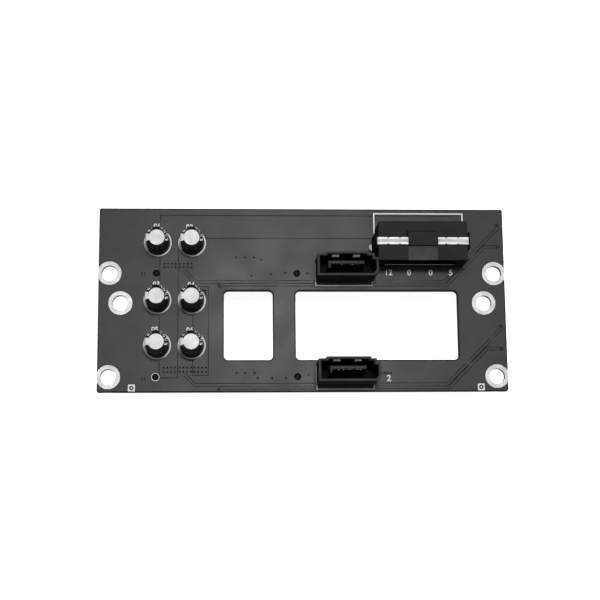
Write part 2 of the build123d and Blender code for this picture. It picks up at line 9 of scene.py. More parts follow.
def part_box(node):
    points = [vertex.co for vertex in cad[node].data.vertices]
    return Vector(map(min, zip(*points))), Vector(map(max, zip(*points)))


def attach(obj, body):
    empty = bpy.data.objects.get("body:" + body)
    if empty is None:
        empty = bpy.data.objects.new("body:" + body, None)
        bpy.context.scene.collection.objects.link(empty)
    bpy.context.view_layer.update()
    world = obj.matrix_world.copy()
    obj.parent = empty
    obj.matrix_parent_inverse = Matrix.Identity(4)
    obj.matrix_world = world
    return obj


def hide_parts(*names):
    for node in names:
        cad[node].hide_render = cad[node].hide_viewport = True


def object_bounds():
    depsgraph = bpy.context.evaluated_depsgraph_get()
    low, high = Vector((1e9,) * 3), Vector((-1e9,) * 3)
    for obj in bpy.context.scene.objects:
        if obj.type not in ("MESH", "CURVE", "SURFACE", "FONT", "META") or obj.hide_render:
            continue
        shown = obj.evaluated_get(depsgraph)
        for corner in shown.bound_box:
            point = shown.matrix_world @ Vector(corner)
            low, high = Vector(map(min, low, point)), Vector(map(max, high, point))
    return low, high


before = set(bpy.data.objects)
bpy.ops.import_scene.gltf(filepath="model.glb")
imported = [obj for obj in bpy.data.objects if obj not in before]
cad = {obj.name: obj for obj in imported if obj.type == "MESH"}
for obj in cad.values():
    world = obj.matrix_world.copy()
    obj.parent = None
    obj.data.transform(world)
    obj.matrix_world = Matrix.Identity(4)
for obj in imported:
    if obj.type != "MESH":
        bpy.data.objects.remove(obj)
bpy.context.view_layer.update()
mm = 0.001
print("frame loaded with", len(cad), "CAD nodes")


# node helpers

def put(tree, kind, inputs=None, **settings):
    node = tree.nodes.new(kind)
    for key, value in settings.items():
        setattr(node, key, value)
    for key, value in (inputs or {}).items():
        socket = node.inputs[key]
        if isinstance(value, bpy.types.NodeSocket):
            tree.links.new(value, socket)
        else:
            socket.default_value = value
    return node


def newGroup(name, kind, inputs, outputs):
    group = bpy.data.node_groups.new(name, kind)
    for title, (socketType, value) in inputs.items():
        socket = group.interface.new_socket(title, in_out="INPUT", socket_type=socketType)
        if value is not None:
            socket.default_value = value
    for title, socketType in outputs.items():
        group.interface.new_socket(title, in_out="OUTPUT", socket_type=socketType)
    return group, put(group, "NodeGroupInput").outputs, put(group, "NodeGroupOutput").inputs


def millimetres(tree):
    # object coordinates in millimetres, because a texture's scale stops at 1000
    place = put(tree, "ShaderNodeTexCoord").outputs["Object"]
    return put(tree, "ShaderNodeVectorMath", {0: place, "Scale": 1000.0}, operation="SCALE").outputs[0]


def remap(tree, value, low, high, toLow=0.0, toHigh=1.0):
    return put(tree, "ShaderNodeMapRange", {"Value": value, "From Min": low, "From Max": high,
                                            "To Min": toLow, "To Max": toHigh}).outputs["Result"]


def calculate(tree, operation, first, second=0.0):
    return put(tree, "ShaderNodeMath", {0: first, 1: second}, operation=operation).outputs[0]


def times(tree, first, second):
    return calculate(tree, "MULTIPLY", first, second)


def between(tree, value, low, high, soft):
    # 1 from low to high, with soft edges inside them
    return times(tree, remap(tree, value, low, low + soft), remap(tree, value, high, high - soft))


def shade(tone, factor):
    return [channel * factor for channel in tone]


def facesUp(tree):
    # height of the surface normal: 1 on what faces up, 0 on a wall
    normal = put(tree, "ShaderNodeNewGeometry").outputs["Normal"]
    return put(tree, "ShaderNodeSeparateXYZ", {0: normal}).outputs["Z"]


def blend(tree, factor, first, second):
    node = put(tree, "ShaderNodeMix", data_type="RGBA")
    for socket, value in ((node.inputs[0], factor), (node.inputs[6], first), (node.inputs[7], second)):
        if isinstance(value, bpy.types.NodeSocket):
            tree.links.new(value, socket)
        else:
            socket.default_value = value if isinstance(value, (int, float)) else (*value, 1.0)
    return node.outputs[2]


number = "NodeSocketFloat"


# fine skin of a surface: small grain for bump and slow patches for tone
def makeGrain():
    tree, given, result = newGroup("surfaceGrain", "ShaderNodeTree",
                                   {"Fine": (number, 6.0), "Patch": (number, 0.3)},
                                   {"Height": number, "Patches": number})
    place = millimetres(tree)
    fine = put(tree, "ShaderNodeTexNoise", {"Vector": place, "Scale": given["Fine"], "Detail": 3.0})
    patch = put(tree, "ShaderNodeTexNoise", {"Vector": place, "Scale": given["Patch"], "Detail": 4.0})
    tree.links.new(fine.outputs[0], result["Height"])
    tree.links.new(remap(tree, patch.outputs[0], 0.25, 0.75), result["Patches"])
    return tree


# thin scratches that run one way, as from sheet rolling, handling or wiping
def makeScratches():
    tree, given, result = newGroup("fineScratches", "ShaderNodeTree",
                                   {"Along": (number, 0.3), "Across": (number, 9.0),
                                    "Turn": (number, 0.0), "Amount": (number, 0.5)},
                                   {"Mask": number})
    place = millimetres(tree)
    turn = put(tree, "ShaderNodeCombineXYZ", {"Z": given["Turn"]}).outputs[0]
    stretch = put(tree, "ShaderNodeCombineXYZ", {"X": given["Along"], "Y": given["Across"],
                                                 "Z": given["Across"]}).outputs[0]
    turned = put(tree, "ShaderNodeMapping", {"Vector": place, "Rotation": turn}).outputs[0]
    long = put(tree, "ShaderNodeVectorMath", {0: turned, 1: stretch}, operation="MULTIPLY").outputs[0]
    lines = put(tree, "ShaderNodeTexNoise", {"Vector": long, "Scale": 1.0, "Detail": 2.0}).outputs[0]
    edge = calculate(tree, "SUBTRACT", 0.72, times(tree, given["Amount"], 0.2))
    mask = put(tree, "ShaderNodeMapRange", {"Value": lines, "From Min": edge,
                                            "From Max": calculate(tree, "ADD", edge, 0.08)})
    tree.links.new(mask.outputs["Result"], result["Mask"])
    return tree


# specks of dust that lie on what faces up
def makeDust():
    tree, given, result = newGroup("settledDust", "ShaderNodeTree", {"Amount": (number, 0.3)},
                                   {"Mask": number})
    up = facesUp(tree)
    specks = put(tree, "ShaderNodeTexNoise", {"Vector": millimetres(tree), "Scale": 3.3,
                                              "Detail": 6.0, "Roughness": 0.75}).outputs[0]
    lit = times(tree, remap(tree, specks, 0.62, 0.74), remap(tree, up, 0.5, 1.0))
    tree.links.new(times(tree, lit, given["Amount"]), result["Mask"])
    return tree


grainGroup, scratchGroup, dustGroup = makeGrain(), makeScratches(), makeDust()


def useGroup(tree, group, **values):
    node = put(tree, "ShaderNodeGroup", node_tree=group)
    for key, value in values.items():
        node.inputs[key].default_value = value
    return node.outputs


def newMaterial(name):
    material = bpy.data.materials.new(name)
    material.use_nodes = True
    tree = material.node_tree
    return material, tree, tree.nodes["Principled BSDF"].inputs


def relief(tree, height, depth):
    # depth in millimetres
    return put(tree, "ShaderNodeBump", {"Height": height, "Strength": 1.0, "Distance": depth * mm}).outputs[0]


# materials

boardFinish = {"laminate": (0.0045, 0.0046, 0.0048), "overCopper": (0.030, 0.0307, 0.0318),
               "cutEdge": (0.010, 0.0095, 0.009), "dust": (0.26, 0.26, 0.25), "dustAmount": 0.22,
               "gloss": 0.31, "glossWear": (0.05, -0.04), "sheen": 0.2, "weavePitch": 0.45, "weaveShare": 0.5,
               "patchTones": (0.88, 1.12), "mottleTone": 0.7, "mottleShare": 0.22, "peelDepth": 0.006}
edgeFinish = {"plyTone": 1.8, "plyScale": 1.3, "sheen": 0.01, "roughness": (0.85, 0.95), "depth": 0.02}


# solder mask: glass weave and orange peel under a satin varnish
def maskMaterial(name, tone):
    look = boardFinish
    material, tree, shader = newMaterial(name)
    shader["Specular IOR Level"].default_value = look["sheen"]
    place = millimetres(tree)
    grain = useGroup(tree, grainGroup, Fine=2.2, Patch=0.11)
    mottle = useGroup(tree, grainGroup, Fine=1.1, Patch=0.9)
    dust = useGroup(tree, dustGroup, Amount=look["dustAmount"])["Mask"]
    # a sine wave repeats every 0.314 millimetres at scale 1
    weave = [put(tree, "ShaderNodeTexWave", {"Vector": place, "Scale": 0.314 / look["weavePitch"],
                                             "Distortion": 0.6, "Detail": 1.0},
                 bands_direction=axis, wave_profile="SIN").outputs["Fac"] for axis in ("X", "Y")]
    low, high = [shade(tone, factor) for factor in look["patchTones"]]
    face = blend(tree, grain["Patches"], low, high)
    clouds = times(tree, mottle["Patches"], look["mottleShare"])
    face = blend(tree, clouds, face, shade(tone, look["mottleTone"]))
    face = blend(tree, dust, face, look["dust"])
    tree.links.new(face, shader["Base Color"])
    dull, bright = [look["gloss"] + wear for wear in look["glossWear"]]
    tree.links.new(remap(tree, grain["Patches"], 0.0, 1.0, dull, bright), shader["Roughness"])
    skin = calculate(tree, "ADD", grain["Height"], times(tree, times(tree, *weave), look["weaveShare"]))
    tree.links.new(relief(tree, skin, look["peelDepth"]), shader["Normal"])
    return material


# raw laminate where the board was routed: plies of glass, dull and dark
def cutEdgeMaterial():
    look, dark = edgeFinish, boardFinish["cutEdge"]
    material, tree, shader = newMaterial("routedLaminate")
    shader["Specular IOR Level"].default_value = look["sheen"]
    grain = useGroup(tree, grainGroup, Fine=5.0, Patch=0.6)
    ply = put(tree, "ShaderNodeTexWave", {"Vector": millimetres(tree), "Scale": look["plyScale"],
                                          "Distortion": 2.0}, bands_direction="Z").outputs["Fac"]
    tone = blend(tree, ply, dark, shade(dark, look["plyTone"]))
    tree.links.new(blend(tree, grain["Patches"], tone, dark), shader["Base Color"])
    tree.links.new(remap(tree, grain["Height"], 0.3, 0.7, *look["roughness"]), shader["Roughness"])
    tree.links.new(relief(tree, grain["Height"], look["depth"]), shader["Normal"])
    return material


metalFinish = {"patchTone": 0.84, "lineTone": 0.6, "lineShare": 0.35, "wear": (0.06, -0.04), "lineDull": 0.15,
               "wallShadeLean": (0.2, 0.7), "wallSheen": 0.02}


# any plain metal: tone patches, one-way scratches and a faint grain; with wall below 1, painted shade on
# upright faces
def metalMaterial(name, tone, roughness, scratch=0.4, turn=0.0, grainSize=5.0, dent=0.004, across=9.0,
                  wall=1.0):
    look = metalFinish
    material, tree, shader = newMaterial(name)
    shader["Metallic"].default_value = 1.0
    grain = useGroup(tree, grainGroup, Fine=grainSize, Patch=0.5)
    lines = useGroup(tree, scratchGroup, Turn=turn, Amount=scratch, Across=across)["Mask"]
    body = blend(tree, grain["Patches"], shade(tone, look["patchTone"]), tone)
    # painted shade: upright faces, such as the inside of a plated barrel, get a darker colour and lose their
    # metal shine
    if wall < 1.0:  # upright faces, such as a plated barrel, stay dark and dull
        flat = remap(tree, calculate(tree, "ABSOLUTE", facesUp(tree)), *look["wallShadeLean"])
        body = blend(tree, flat, shade(tone, wall), body)
        tree.links.new(flat, shader["Metallic"])
        shader["Specular IOR Level"].default_value = look["wallSheen"]
    scored = blend(tree, times(tree, lines, look["lineShare"]), body, shade(tone, look["lineTone"]))
    tree.links.new(scored, shader["Base Color"])
    dull, bright = [roughness + wear for wear in look["wear"]]
    worn = remap(tree, grain["Patches"], 0.0, 1.0, dull, bright)
    tree.links.new(calculate(tree, "ADD", worn, times(tree, lines, look["lineDull"])), shader["Roughness"])
    height = calculate(tree, "SUBTRACT", grain["Height"], lines)
    tree.links.new(relief(tree, height, dent), shader["Normal"])
    return material


strapFinish = {"creaseShadeShare": 0.34, "creaseHalf": 0.36, "creaseSoft": 0.12, "creaseShadeTone": 0.35,
               "creaseDull": 0.12, "scratch": 0.6, "dent": 0.005}


# strap sheet: the stamped crease along its middle is duller, and darker by painted shade
def creasedMetal(name, tone, roughness):
    look = strapFinish
    material = metalMaterial(name, tone, roughness, scratch=look["scratch"], dent=look["dent"])
    tree = material.node_tree
    shader = tree.nodes["Principled BSDF"].inputs
    low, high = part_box("power_header_strap")
    middle = (low.y + high.y) / 2 / mm
    along = put(tree, "ShaderNodeSeparateXYZ", {0: millimetres(tree)}).outputs["Y"]
    off = calculate(tree, "ABSOLUTE", calculate(tree, "SUBTRACT", along, middle))
    crease = remap(tree, off, look["creaseHalf"] + look["creaseSoft"], look["creaseHalf"])
    plain = shader["Base Color"].links[0].from_socket
    # painted shade: the crease band is darkened in the colour
    dull = times(tree, crease, look["creaseShadeShare"])
    tree.links.new(blend(tree, dull, plain, shade(tone, look["creaseShadeTone"])), shader["Base Color"])
    smooth = shader["Roughness"].links[0].from_socket
    matt = calculate(tree, "ADD", smooth, times(tree, crease, look["creaseDull"]))
    tree.links.new(matt, shader["Roughness"])
    return material


plasticFinish = {"rubShare": 0.25, "rubTone": 3.0, "dust": (0.32, 0.31, 0.30), "wear": (-0.07, 0.09)}


# filled nylon or polyester: matt grain from the mould, flow patches, rubbed lines, dust on top
def plasticMaterial(name, tone, roughness, grainSize=7.0, depth=0.01, patches=1.4, dust=0.2, sheen=0.25):
    look = plasticFinish
    material, tree, shader = newMaterial(name)
    shader["Specular IOR Level"].default_value = sheen
    grain = useGroup(tree, grainGroup, Fine=grainSize, Patch=0.22)
    specks = useGroup(tree, dustGroup, Amount=dust)["Mask"]
    rubs = useGroup(tree, scratchGroup, Amount=0.25, Along=0.8, Across=5.0, Turn=0.5)["Mask"]
    body = blend(tree, grain["Patches"], tone, shade(tone, patches))
    body = blend(tree, times(tree, rubs, look["rubShare"]), body, shade(tone, look["rubTone"]))
    tree.links.new(blend(tree, specks, body, look["dust"]), shader["Base Color"])
    smooth, matt = [roughness + wear for wear in look["wear"]]
    tree.links.new(remap(tree, grain["Height"], 0.3, 0.7, smooth, matt), shader["Roughness"])
    tree.links.new(relief(tree, grain["Height"], depth), shader["Normal"])
    return material


inkFinish = {"tone": (0.78, 0.78, 0.77), "thin": (0.60, 0.60, 0.59), "roughness": (0.45, 0.7), "depth": 0.006}


# screen-printed ink: thinner and greyer in patches
def inkMaterial():
    material, tree, shader = newMaterial("printedInk")
    grain = useGroup(tree, grainGroup, Fine=4.0, Patch=1.1)
    tree.links.new(blend(tree, grain["Patches"], inkFinish["thin"], inkFinish["tone"]), shader["Base Color"])
    tree.links.new(remap(tree, grain["Height"], 0.0, 1.0, *inkFinish["roughness"]), shader["Roughness"])
    tree.links.new(relief(tree, grain["Height"], inkFinish["depth"]), shader["Normal"])
    return material


# a block of marks: from and to round the can, from and to down it, and strength
sleeveFinish = {"film": (0.0045, 0.0045, 0.005), "stripe": (0.66, 0.67, 0.68), "print": (0.74, 0.75, 0.76),
                "stripeCentre": 0.5, "stripeHalfWidth": 0.06, "stripeTaper": 0.03, "filmPatches": 1.4,
                "dashHalf": 0.028, "dashPitch": 0.24, "dashShare": (0.5, 0.8),
                "markPitch": 0.07, "markShare": (0.12, 0.82), "markCuts": 26.0, "cutShare": (0.44, 0.50),
                "markBlocks": ((-0.06, 0.19, 0.03, 0.2, 0.9), (-0.34, -0.17, 0.17, 0.27, 0.3),
                               (0.33, 0.42, 0.04, 0.2, 0.8)),
                "gloss": 0.24, "glossWear": 0.1, "wallRoughness": 0.75, "wallUp": 0.35, "sheen": 0.06,
                "depth": 0.05}


# shrink film round a can: u runs round it from the east and v from the eye down to the foot
def sleeveMaterial():
    look = sleeveFinish
    material, tree, shader = newMaterial("shrinkSleeve")
    grain = useGroup(tree, grainGroup, Fine=1.3, Patch=0.4)
    way = put(tree, "ShaderNodeUVMap", uv_map="round").outputs[0]
    around, down = put(tree, "ShaderNodeSeparateXYZ", {0: way}).outputs[:2]
    off = calculate(tree, "ABSOLUTE", calculate(tree, "SUBTRACT", around, look["stripeCentre"]))
    taper = calculate(tree, "SUBTRACT", look["stripeHalfWidth"], times(tree, down, look["stripeTaper"]))
    stripe = put(tree, "ShaderNodeMapRange", {"Value": off, "From Min": calculate(tree, "ADD", taper, 0.004),
                                              "From Max": taper}).outputs["Result"]
    # minus signs down the stripe
    row = calculate(tree, "FRACT", calculate(tree, "DIVIDE", down, look["dashPitch"]))
    dash = between(tree, row, *look["dashShare"], 0.03)
    dash = times(tree, dash, remap(tree, off, look["dashHalf"], look["dashHalf"] - 0.003))
    stripe = calculate(tree, "SUBTRACT", stripe, dash)
    # blocks of small printed marks, cut up by noise
    eastward = put(tree, "ShaderNodeMath", {0: around, 1: 0.5, 2: -0.5}, operation="WRAP").outputs[0]
    step = calculate(tree, "FRACT", calculate(tree, "DIVIDE", eastward, look["markPitch"]))
    cut = put(tree, "ShaderNodeTexNoise", {"Vector": way, "Scale": look["markCuts"],
                                           "Detail": 0.0}).outputs[0]
    glyph = times(tree, between(tree, step, *look["markShare"], 0.06), remap(tree, cut, *look["cutShare"]))
    marks = 0.0
    for start, stop, high, low, strength in look["markBlocks"]:
        span = between(tree, eastward, start - 0.002, stop + 0.002, 0.002)
        block = times(tree, times(tree, span, between(tree, down, high, low, 0.01)), strength)
        marks = calculate(tree, "MAXIMUM", block, marks)
    film = blend(tree, grain["Patches"], look["film"], shade(look["film"], look["filmPatches"]))
    film = blend(tree, times(tree, marks, glyph), film, look["print"])
    tree.links.new(blend(tree, stripe, film, look["stripe"]), shader["Base Color"])
    gloss = remap(tree, grain["Patches"], 0.0, 1.0, look["gloss"], look["gloss"] + look["glossWear"])
    wall = remap(tree, facesUp(tree), 0.0, look["wallUp"], look["wallRoughness"], 0.0)
    tree.links.new(calculate(tree, "MAXIMUM", gloss, wall), shader["Roughness"])
    tree.links.new(relief(tree, grain["Height"], look["depth"]), shader["Normal"])
    shader["Specular IOR Level"].default_value = look["sheen"]
    return material


maskBare = maskMaterial("maskOverLaminate", boardFinish["laminate"])
maskCopper = maskMaterial("maskOverCopper", boardFinish["overCopper"])
cutEdge = cutEdgeMaterial()
# the rings' upright barrel walls get painted shade, through wall=0.1
tinPlate = metalMaterial("hotTinnedCopper", (0.42, 0.418, 0.41), 0.42, scratch=0.3, dent=0.006, wall=0.1)
brightTin = metalMaterial("brightTin", (0.70, 0.70, 0.69), 0.6, scratch=0.2, dent=0.006)
solderMetal = metalMaterial("solderAlloy", (0.62, 0.63, 0.65), 0.3, scratch=0.0, grainSize=2.5, dent=0.012)
canMetal = metalMaterial("drawnAluminium", (0.63, 0.633, 0.637), 0.6, scratch=0.3, turn=0.7, dent=0.003,
                         across=16.0)
wireMetal = metalMaterial("tinnedWire", (0.62, 0.62, 0.61), 0.32)
strapMetal = creasedMetal("brightStrap", (0.69, 0.69, 0.68), 0.55)
plateMetal = metalMaterial("tinnedPlate", (0.60, 0.60, 0.58), 0.42)
goldMetal = metalMaterial("contactGold", (0.62, 0.46, 0.21), 0.2, scratch=0.3)
pinMetal = metalMaterial("platedPins", (0.62, 0.62, 0.60), 0.36, scratch=0.4)
# one header plastic in three tones: the darkest stays on walls and floor as painted shade, the lighter bevel
# and rim copies are painted light on what faces up
headerPlastic = plasticMaterial("headerPolyester", (0.006, 0.006, 0.0062), 0.85, sheen=0.007)
bevelPlastic = plasticMaterial("headerBevel", (0.020, 0.020, 0.0205), 0.6, patches=1.6, sheen=0.15)
rimPlastic = plasticMaterial("headerRim", (0.020, 0.020, 0.0205), 0.55, patches=2.4, sheen=0.2)
# painted highlight: light plastic on the ledges of the header's latch windows
sillHighlightPlastic = plasticMaterial("paintedWindowSillHighlight", (0.13, 0.13, 0.132), 0.6, patches=1.5)
# painted highlight: light plastic on the plug sill at the power header's mouth, which lies in shade
plugSillHighlightPlastic = plasticMaterial("paintedPlugSillHighlight", (0.36, 0.36, 0.365), 0.5, patches=1.5)
# the power nylon in two tones: the darker one on walls is painted shade, the lighter top copy is painted
# light on what faces up
powerPlastic = plasticMaterial("powerNylon", (0.005, 0.005, 0.0051), 0.8, grainSize=5.0, sheen=0.01)
powerTopPlastic = plasticMaterial("powerNylonTop", (0.0095, 0.0095, 0.0097), 0.66, grainSize=5.0, depth=0.014,
                                  sheen=0.2)
gripPlastic = plasticMaterial("sparkedGrip", (0.036, 0.036, 0.037), 0.8, grainSize=1.7, depth=0.16,
                              patches=1.9)
receptaclePlastic = plasticMaterial("receptaclePolyester", (0.008, 0.008, 0.0083), 0.6, sheen=0.08)
rubber = plasticMaterial("sealRubber", (0.012, 0.012, 0.012), 0.7, grainSize=4.0)
# painted shade: a black, unshiny plastic for the discs that stand for the shade inside via holes
viaHoleShade = plasticMaterial("paintedViaHoleShade", (0.003, 0.003, 0.003), 0.6, grainSize=9.0, dust=0.0, sheen=0.02)
ink, sleeveFilm = inkMaterial(), sleeveMaterial()
print("materials made:", len(bpy.data.materials))

# what each CAD node wears, by the end of its name
nodeFinishes = (("board", maskBare), ("mounting_rings", tinPlate), ("_can", canMetal),
                ("_sleeve", sleeveFilm), ("_bung", rubber), ("_leads", wireMetal),
                ("solder_joints", solderMetal), ("header_pins", pinMetal), ("header_strap", strapMetal),
                ("board_locks", plateMetal), ("anchors", plateMetal), ("_contacts", goldMetal),
                ("power_header_housing", powerPlastic),
                ("data_header_1_housing", headerPlastic), ("data_header_2_housing", headerPlastic),
                ("receptacle_1_housing", receptaclePlastic), ("receptacle_2_housing", receptaclePlastic))
for name, node in cad.items():
    finish = [made for ending, made in nodeFinishes if name.endswith(ending)][0]
    node.data.materials.clear()
    node.data.materials.append(finish)


# piece helpers

def addPiece(name, mesh, material, slotName, *stoodFor):
    mesh.name = name
    mesh.materials.clear()
    mesh.materials.append(material)
    piece = bpy.data.objects.new(name, mesh)
    bpy.context.scene.collection.objects.link(piece)
    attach(piece, "root")
    if stoodFor:
        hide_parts(*stoodFor)
    return piece


def plainMesh(source):
    # what the modifiers make of an object, as a mesh of its own
    graph = bpy.context.evaluated_depsgraph_get()
    mesh = bpy.data.meshes.new_from_object(source.evaluated_get(graph), depsgraph=graph)
    bpy.data.objects.remove(source)
    return mesh


def circle(centre, radius, count, start=0.0, sweep=2 * math.pi):
    steps = count if sweep >= 2 * math.pi else count + 1
    return [(centre[0] + radius * math.cos(start + sweep * i / count),
             centre[1] + radius * math.sin(start + sweep * i / count)) for i in range(steps)]


def roundedBox(centre, size, radius, count=8):
    outline = []
    for quarter, (sx, sy) in enumerate(((1, 1), (-1, 1), (-1, -1), (1, -1))):
        corner = (centre[0] + sx * (size[0] / 2 - radius), centre[1] + sy * (size[1] / 2 - radius))
        outline += circle(corner, radius, count, quarter * math.pi / 2, math.pi / 2)
    return outline


def strip(path, width):
    # outline of a line of that width, mitred where it turns
    points = [Vector(point) for point in path]
    ways = [(b - a).normalized() for a, b in zip(points, points[1:])]
    left, right = [], []
    for i, point in enumerate(points):
        before, after = ways[max(i - 1, 0)], ways[min(i, len(ways) - 1)]
        across = Vector((-before.y - after.y, before.x + after.x)).normalized()
        reach = width / 2 / across.dot(Vector((-after.y, after.x)))
        left.append(tuple(point + across * reach))
        right.append(tuple(point - across * reach))
    return right + left[::-1]


def layeredSheet(layers, base, thickness):
    # the last layer that holds a spot says whether the sheet is there; places in millimetres
    points, faces = [], []
    for _, outline in layers:
        faces.append(list(range(len(points), len(points) + len(outline))))
        points += [Vector(point) for point in outline]
    found = delaunay_2d_cdt(points, [], faces, 0, 1e-4, True)
    work = bmesh.new()
    corners = [work.verts.new((x * mm, y * mm, base)) for x, y in found[0]]
    for triangle, owners in zip(found[2], found[5]):
        if owners and layers[max(owners)][0] == "add":
            work.faces.new([corners[i] for i in triangle])
    bmesh.ops.delete(work, geom=[v for v in work.verts if not v.link_faces], context="VERTS")
    raised = bmesh.ops.extrude_face_region(work, geom=work.faces[:], use_keep_orig=True)["geom"]
    lifted = [part for part in raised if isinstance(part, bmesh.types.BMVert)]
    bmesh.ops.translate(work, vec=(0, 0, thickness), verts=lifted)
    bmesh.ops.recalc_face_normals(work, faces=work.faces[:])
    mesh = bpy.data.meshes.new("sheet")
    work.to_mesh(mesh)
    work.free()
    return mesh


def scatterTree(name, shape, sizes):
    # one shape at every given point
    inputs = {"Points": ("NodeSocketGeometry", None), "Finish": ("NodeSocketMaterial", None)}
    inputs.update({title: (number, value) for title, value in sizes.items()})
    tree, given, result = newGroup(name, "GeometryNodeTree", inputs, {"Geometry": "NodeSocketGeometry"})
    spread = put(tree, "GeometryNodeInstanceOnPoints", {"Points": given["Points"],
                                                        "Instance": shape(tree, given)})
    real = put(tree, "GeometryNodeRealizeInstances", {"Geometry": spread.outputs[0]})
    done = put(tree, "GeometryNodeSetMaterial", {"Geometry": real.outputs[0], "Material": given["Finish"]})
    tree.links.new(done.outputs[0], result["Geometry"])
    return tree


def scatter(name, tree, points, material, slotName, sizes):
    # points in millimetres
    mesh = bpy.data.meshes.new(name)
    mesh.from_pydata([[c * mm for c in point] for point in points], [], [])
    seed = bpy.data.objects.new(name, mesh)
    bpy.context.scene.collection.objects.link(seed)
    modifier = seed.modifiers.new("scatter", "NODES")
    modifier.node_group = tree
    values = {"Finish": material, **{title: size * mm for title, size in sizes.items()}}
    for item in tree.interface.items_tree:
        if item.item_type == "SOCKET" and item.in_out == "INPUT" and item.name in values:
            modifier[item.identifier] = values[item.name]
    return addPiece(name, plainMesh(seed), material, slotName)


# copper, mask and print on the component face

boardLow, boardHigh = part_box("board")
boardSize = [(boardHigh[i] - boardLow[i]) / mm for i in range(3)]
boardCentre = [(boardHigh[i] + boardLow[i]) / 2 / mm for i in range(2)]
topZ = boardHigh.z / mm
bayRows = (15.1, -15.1)
roundSteps = {"ring": 72, "peg": 32, "land": 24, "pegRing": 40}
board = {"edgeInset": 0.3, "cornerRadius": 0.6, "ringClearance": 3.6,
         "holes": [(x, y) for x in (-55.85, 55.85) for y in bayRows] + [(x, 6.35) for x in (-52.625, 52.625)],
         "windows": (((-15.87, -0.15), (14.1, 20.2), 1.3), ((21.33, -0.15), (47.15, 20.2), 1.3)),
         "windowInset": 0.35, "pegHoles": [(x, y) for x in (-42.43, -1.83) for y in bayRows],
         "pegClearance": 1.02, "legPlaces": ((20.905, 22.5), (46.795, 22.5)),
         "legClearance": (2.9, 3.8), "legCorner": 1.44}

copper = {"thickness": 0.035, "gap": 0.25, "trackWidth": 0.56, "landRadius": 0.42}

# pour borders, then tracks from the receptacle's side to the vias at the right edge
pourBorders = (
    ((-41.4, -15.4), (-41.4, 32.3), (44.0, 32.3)),
    ((-41.4, -15.4), (-36.1, -15.4), (-36.1, 25.5), (24.0, 25.5)),
    ((-31.85, -14.6), (-31.85, 9.6), (-30.3, 11.15), (-27.4, 11.15), (-27.4, -14.6), (-31.95, -14.6)),
)
tracks = (
    {"path": ((-34.5, 15.95), (-31.1, 12.55), (41.3, 12.55), (56.85, 28.1), (57.3, 28.6), (57.3, 29.5)),
     "lands": ((57.3, 29.5),)},
    {"path": ((-24.1, 11.4), (-23.7, 11.75), (42.0, 11.75), (53.4, 23.15), (57.1, 23.15)),
     "lands": ((-24.1, 11.4), (57.1, 23.15))},
    {"path": ((-34.2, -14.4), (-31.2, -17.4), (41.3, -17.4), (56.6, -2.1), (57.45, -1.25), (57.45, -0.6)),
     "lands": ((57.45, -0.6),)},
    {"path": ((-24.2, -18.85), (-23.6, -18.25), (42.0, -18.25), (53.1, -7.1), (57.25, -7.1)),
     "lands": ((-24.2, -18.85), (57.25, -7.1))},
)


def boardLayers():
    size = [boardSize[i] - 2 * board["edgeInset"] for i in range(2)]
    layers = [("add", roundedBox(boardCentre, size, board["cornerRadius"]))]
    layers += [("cut", circle(hole, board["ringClearance"], roundSteps["ring"])) for hole in board["holes"]]
    for centre, opening, radius in board["windows"]:
        grown = [side + 2 * board["windowInset"] for side in opening]
        layers.append(("cut", roundedBox(centre, grown, radius + board["windowInset"])))
    layers += [("cut", circle(hole, board["pegClearance"], roundSteps["peg"])) for hole in board["pegHoles"]]
    return layers


def landOutline(place, grow=0.0):
    return circle(place, copper["landRadius"] + grow, roundSteps["land"])


def makeTopCopper():
    gap, width = copper["gap"], copper["trackWidth"]
    layers = boardLayers()
    layers += [("cut", roundedBox(place, board["legClearance"], board["legCorner"]))
               for place in board["legPlaces"]]
    layers += [("cut", strip(border, gap)) for border in pourBorders]
    for track in tracks:
        layers.append(("cut", strip(track["path"], width + 2 * gap)))
        layers += [("cut", landOutline(land, gap)) for land in track["lands"]]
    for track in tracks:
        path = list(track["path"])
        if track["lands"][0] != path[0]:  # a track without a land there runs on past the gap
            first, second = Vector(path[0]), Vector(path[1])
            path[0] = tuple(first - (second - first).normalized() * 2 * gap)
        layers.append(("add", strip(path, width)))
        layers += [("add", landOutline(land)) for land in track["lands"]]
    return layeredSheet(layers, topZ * mm, copper["thickness"] * mm)


addPiece("top_copper_under_mask", makeTopCopper(), maskCopper, "circuit_board")
print("component face copper laid")

viaGrids = (  # first place, step, count along x and y
    ((-40.12, 17.88), (1.08, -1.06), (4, 2)), ((-35.68, 17.88), (1.147, -1.06), (4, 2)),
    ((-40.08, -12.42), (1.063, -1.23), (4, 2)), ((-35.5, -12.42), (1.063, -1.23), (4, 2)),
    ((-31.32, -12.42), (1.073, -1.23), (4, 2)), ((-28.95, 10.02), (0.62, -0.72), (2, 3)),
    ((22.2, -14.1), (0.95, 1.0), (4, 1)),
)
smallGrids = (((-46.54, 15.15), (0.78, -0.59), (2, 2)), ((-46.21, -15.36), (0.77, -0.58), (2, 2)))
singleVias = ((-19.33, 19.82), (-16.81, 19.82), (-14.24, 19.83), (-12.12, 19.16), (-14.99, 14.37),
              (-9.3, 14.92), (-5.22, 15.26), (1.22, 15.14), (-19.38, -14.0), (-16.9, -14.01),
              (-14.21, -14.02), (-13.29, -15.51), (-9.16, -15.52), (-5.18, -15.46), (1.3, -14.6),
              (57.3, 29.5), (57.1, 23.15), (57.45, -0.6), (57.25, -7.1), (-24.1, 11.4), (-24.2, -18.85))
via = {"ringRadius": 0.29, "ringSection": 0.06, "ringSides": (20, 6), "ringFlatness": 0.35,
       "shadeDiscRadius": 0.235, "shadeDiscThickness": 0.008, "shadeDiscSides": 28, "smallShare": 0.85}


